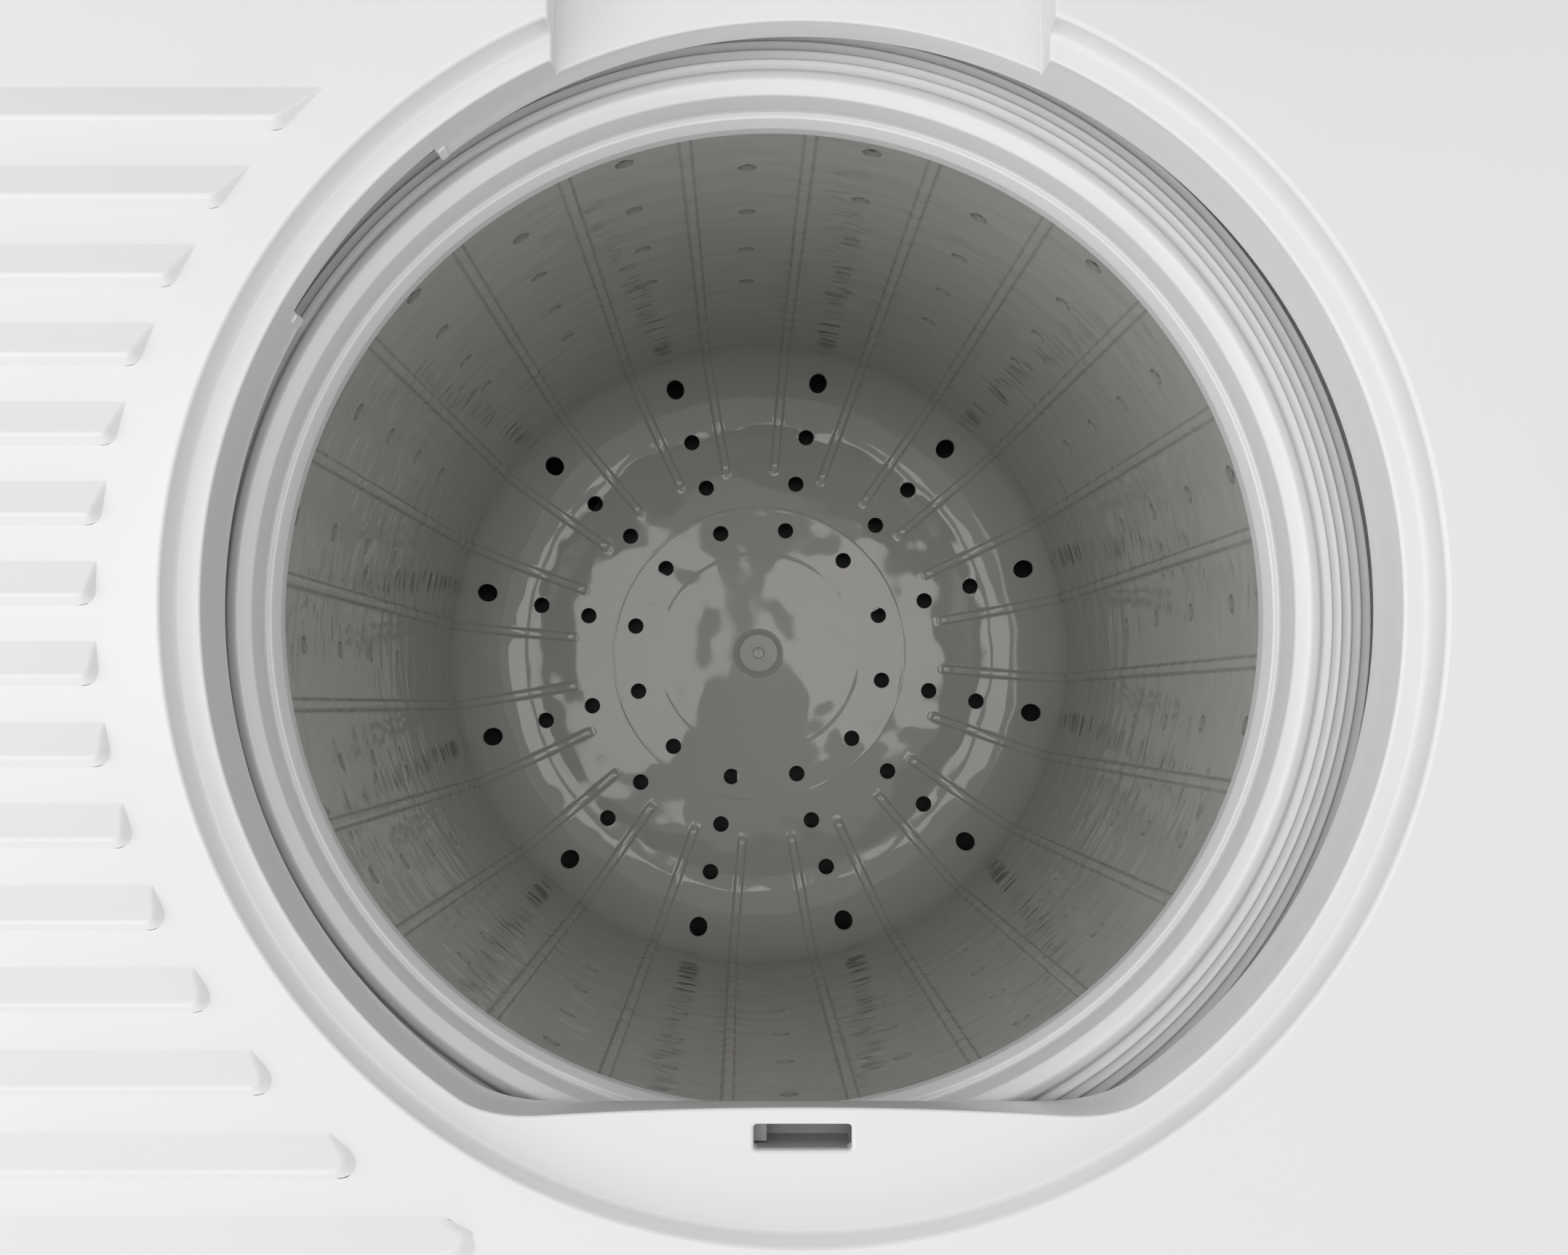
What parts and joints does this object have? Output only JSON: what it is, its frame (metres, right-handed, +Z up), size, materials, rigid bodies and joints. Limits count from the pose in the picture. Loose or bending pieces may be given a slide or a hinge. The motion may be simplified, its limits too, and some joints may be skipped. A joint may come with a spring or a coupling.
{
  "type": "top load washing machine",
  "caption": "Compact top load washing machine with a round lid recess, a perforated spin basket under a balance ring, a ribbed deck and a rear console.",
  "frame": {"origin": "floor level under the middle of the cabinet", "axes": "+Z up, front of the machine towards -Y, +X to the right seen from the front"},
  "size_m": [0.46, 0.47, 1.0391],
  "materials": {
    "white_enamel": "semi-gloss enamel",
    "white_plastic": "glossy moulded plastic",
    "ring_plastic": "glossy moulded plastic",
    "basket_plastic": "glossy light grey moulded plastic",
    "tub_plastic": "satin moulded plastic",
    "grey_plastic": "fine grained plastic",
    "console_grey": "satin moulded plastic",
    "knob_grey": "satin moulded plastic",
    "trim_silver": "satin plated",
    "key_blue": "glossy plastic",
    "lens_amber": "clear tinted lens",
    "black_rubber": "matt rubber",
    "grey_rubber": "matt rubber",
    "galvanised": "galvanised sheet",
    "bright_steel": "turned steel",
    "cast_aluminium": "as cast",
    "motor_enamel": "satin black enamel",
    "control_nylon": "natural nylon",
    "capacitor_can": "drawn can",
    "brake_lining": "bonded lining"
  },
  "bodies": {
    "cabinet": {"cabinet_shell": "white_enamel", "rear_panel": "galvanised", "base_frame": "grey_plastic", "rear_feet": "black_rubber", "corner_brackets": "galvanised", "suspension_rods": "bright_steel", "rod_seats": "control_nylon", "spring_cups": "grey_plastic", "suspension_springs": "bright_steel", "top_deck": "white_plastic", "console_housing": "white_plastic", "console_fascia": "console_grey", "dial_trims": "trim_silver", "indicator_lens": "lens_amber", "timer_control": "control_nylon", "selector_switch": "control_nylon", "pressure_switch": "control_nylon", "start_switch": "control_nylon", "lid_hinge_pins": "bright_steel", "lid_rest_bumpers": "grey_rubber", "lid_switch_housing": "grey_plastic", "inlet_valve": "tub_plastic", "fill_chute": "tub_plastic", "drain_pump": "grey_plastic", "drain_outlet": "grey_plastic", "sump_bellows": "black_rubber", "run_capacitor": "capacitor_can", "cable_gland": "black_rubber", "rear_panel_screws": "bright_steel"},
    "foot_left": {"foot_front_left": "black_rubber"},
    "foot_right": {"foot_front_right": "black_rubber"},
    "timer_dial": {"timer_knob": "knob_grey"},
    "selector_dial": {"selector_knob": "knob_grey"},
    "level_dial": {"level_knob": "knob_grey"},
    "start_key": {"start_button": "key_blue"},
    "lid": {"lid": "white_plastic", "lid_hook": "white_plastic", "lid_bumpers": "grey_rubber"},
    "switch_plunger": {"lid_switch_plunger": "grey_plastic"},
    "tub": {"outer_tub": "tub_plastic", "tub_ring": "tub_plastic", "bearing_housing": "cast_aluminium", "upper_bearing": "bright_steel", "lower_bearing": "bright_steel", "shaft_seal": "black_rubber", "motor_bracket": "galvanised", "drive_motor": "motor_enamel", "housing_bolts": "bright_steel", "drive_belt": "black_rubber", "brake_solenoid": "grey_plastic"},
    "spin_basket": {"basket": "basket_plastic", "balance_ring": "ring_plastic", "drive_hub": "cast_aluminium", "hub_cap": "basket_plastic", "spin_shaft": "bright_steel", "spin_pulley": "cast_aluminium"},
    "rotor": {"motor_shaft": "bright_steel", "motor_pulley": "cast_aluminium"},
    "brake": {"brake_shoe": "brake_lining"},
    "impeller": {"pump_impeller": "tub_plastic"}
  },
  "joints": [
    {"name": "lid_hinge", "type": "hinge", "parent": "cabinet", "child": "lid", "pos_m": [0.023, 0.161, 0.692], "axis": [1, 0, 0], "range_deg": [0, 98]},
    {"name": "tub_bounce", "type": "slide", "parent": "cabinet", "child": "tub", "axis": [0, 0, 1], "range_m": [-0.02, 0.006], "stiffness_N_per_m": 6000, "springref_m": 0.0199, "deforming": ["suspension_springs", "sump_bellows"]},
    {"name": "basket_spin", "type": "hinge", "parent": "tub", "child": "spin_basket", "pos_m": [0.0163, -0.0305, 0.3], "axis": [0, 0, 1], "continuous": true},
    {"name": "motor_spin", "type": "hinge", "parent": "tub", "child": "rotor", "pos_m": [0.0163, 0.0955, 0.18], "axis": [0, 0, 1], "continuous": true},
    {"name": "brake_release", "type": "slide", "parent": "tub", "child": "brake", "axis": [-1, 0, 0], "range_m": [0, 0.003], "stiffness_N_per_m": 2000, "springref_m": -0.003},
    {"name": "timer_turn", "type": "hinge", "parent": "cabinet", "child": "timer_dial", "pos_m": [-0.176, 0.1882, 0.748], "axis": [0, -0.9781, 0.2079], "range_deg": [-330, 0]},
    {"name": "selector_turn", "type": "hinge", "parent": "cabinet", "child": "selector_dial", "pos_m": [-0.108, 0.1882, 0.748], "axis": [0, -0.9781, 0.2079], "range_deg": [-120, 0]},
    {"name": "level_turn", "type": "hinge", "parent": "cabinet", "child": "level_dial", "pos_m": [0.156, 0.1882, 0.748], "axis": [0, -0.9781, 0.2079], "range_deg": [-180, 0]},
    {"name": "start_press", "type": "slide", "parent": "cabinet", "child": "start_key", "axis": [0, 0.9781, -0.2079], "range_m": [0, 0.004], "stiffness_N_per_m": 400, "springref_m": -0.001},
    {"name": "lid_switch_press", "type": "slide", "parent": "cabinet", "child": "switch_plunger", "axis": [-1, 0, 0], "range_m": [0, 0.0035], "stiffness_N_per_m": 300, "springref_m": -0.001},
    {"name": "foot_left_turn", "type": "hinge", "parent": "cabinet", "child": "foot_left", "pos_m": [-0.185, -0.19, 0.01], "axis": [0, 0, 1], "range_deg": [-1440, 1440]},
    {"name": "foot_right_turn", "type": "hinge", "parent": "cabinet", "child": "foot_right", "pos_m": [0.185, -0.19, 0.01], "axis": [0, 0, 1], "range_deg": [-1440, 1440]},
    {"name": "pump_spin", "type": "hinge", "parent": "cabinet", "child": "impeller", "pos_m": [-0.09, 0.058, 0.092], "axis": [0, -1, 0], "continuous": true}
  ],
  "couplings": [
    {"joint": "motor_spin", "follows": "basket_spin", "ratio": 3.4}
  ]
}
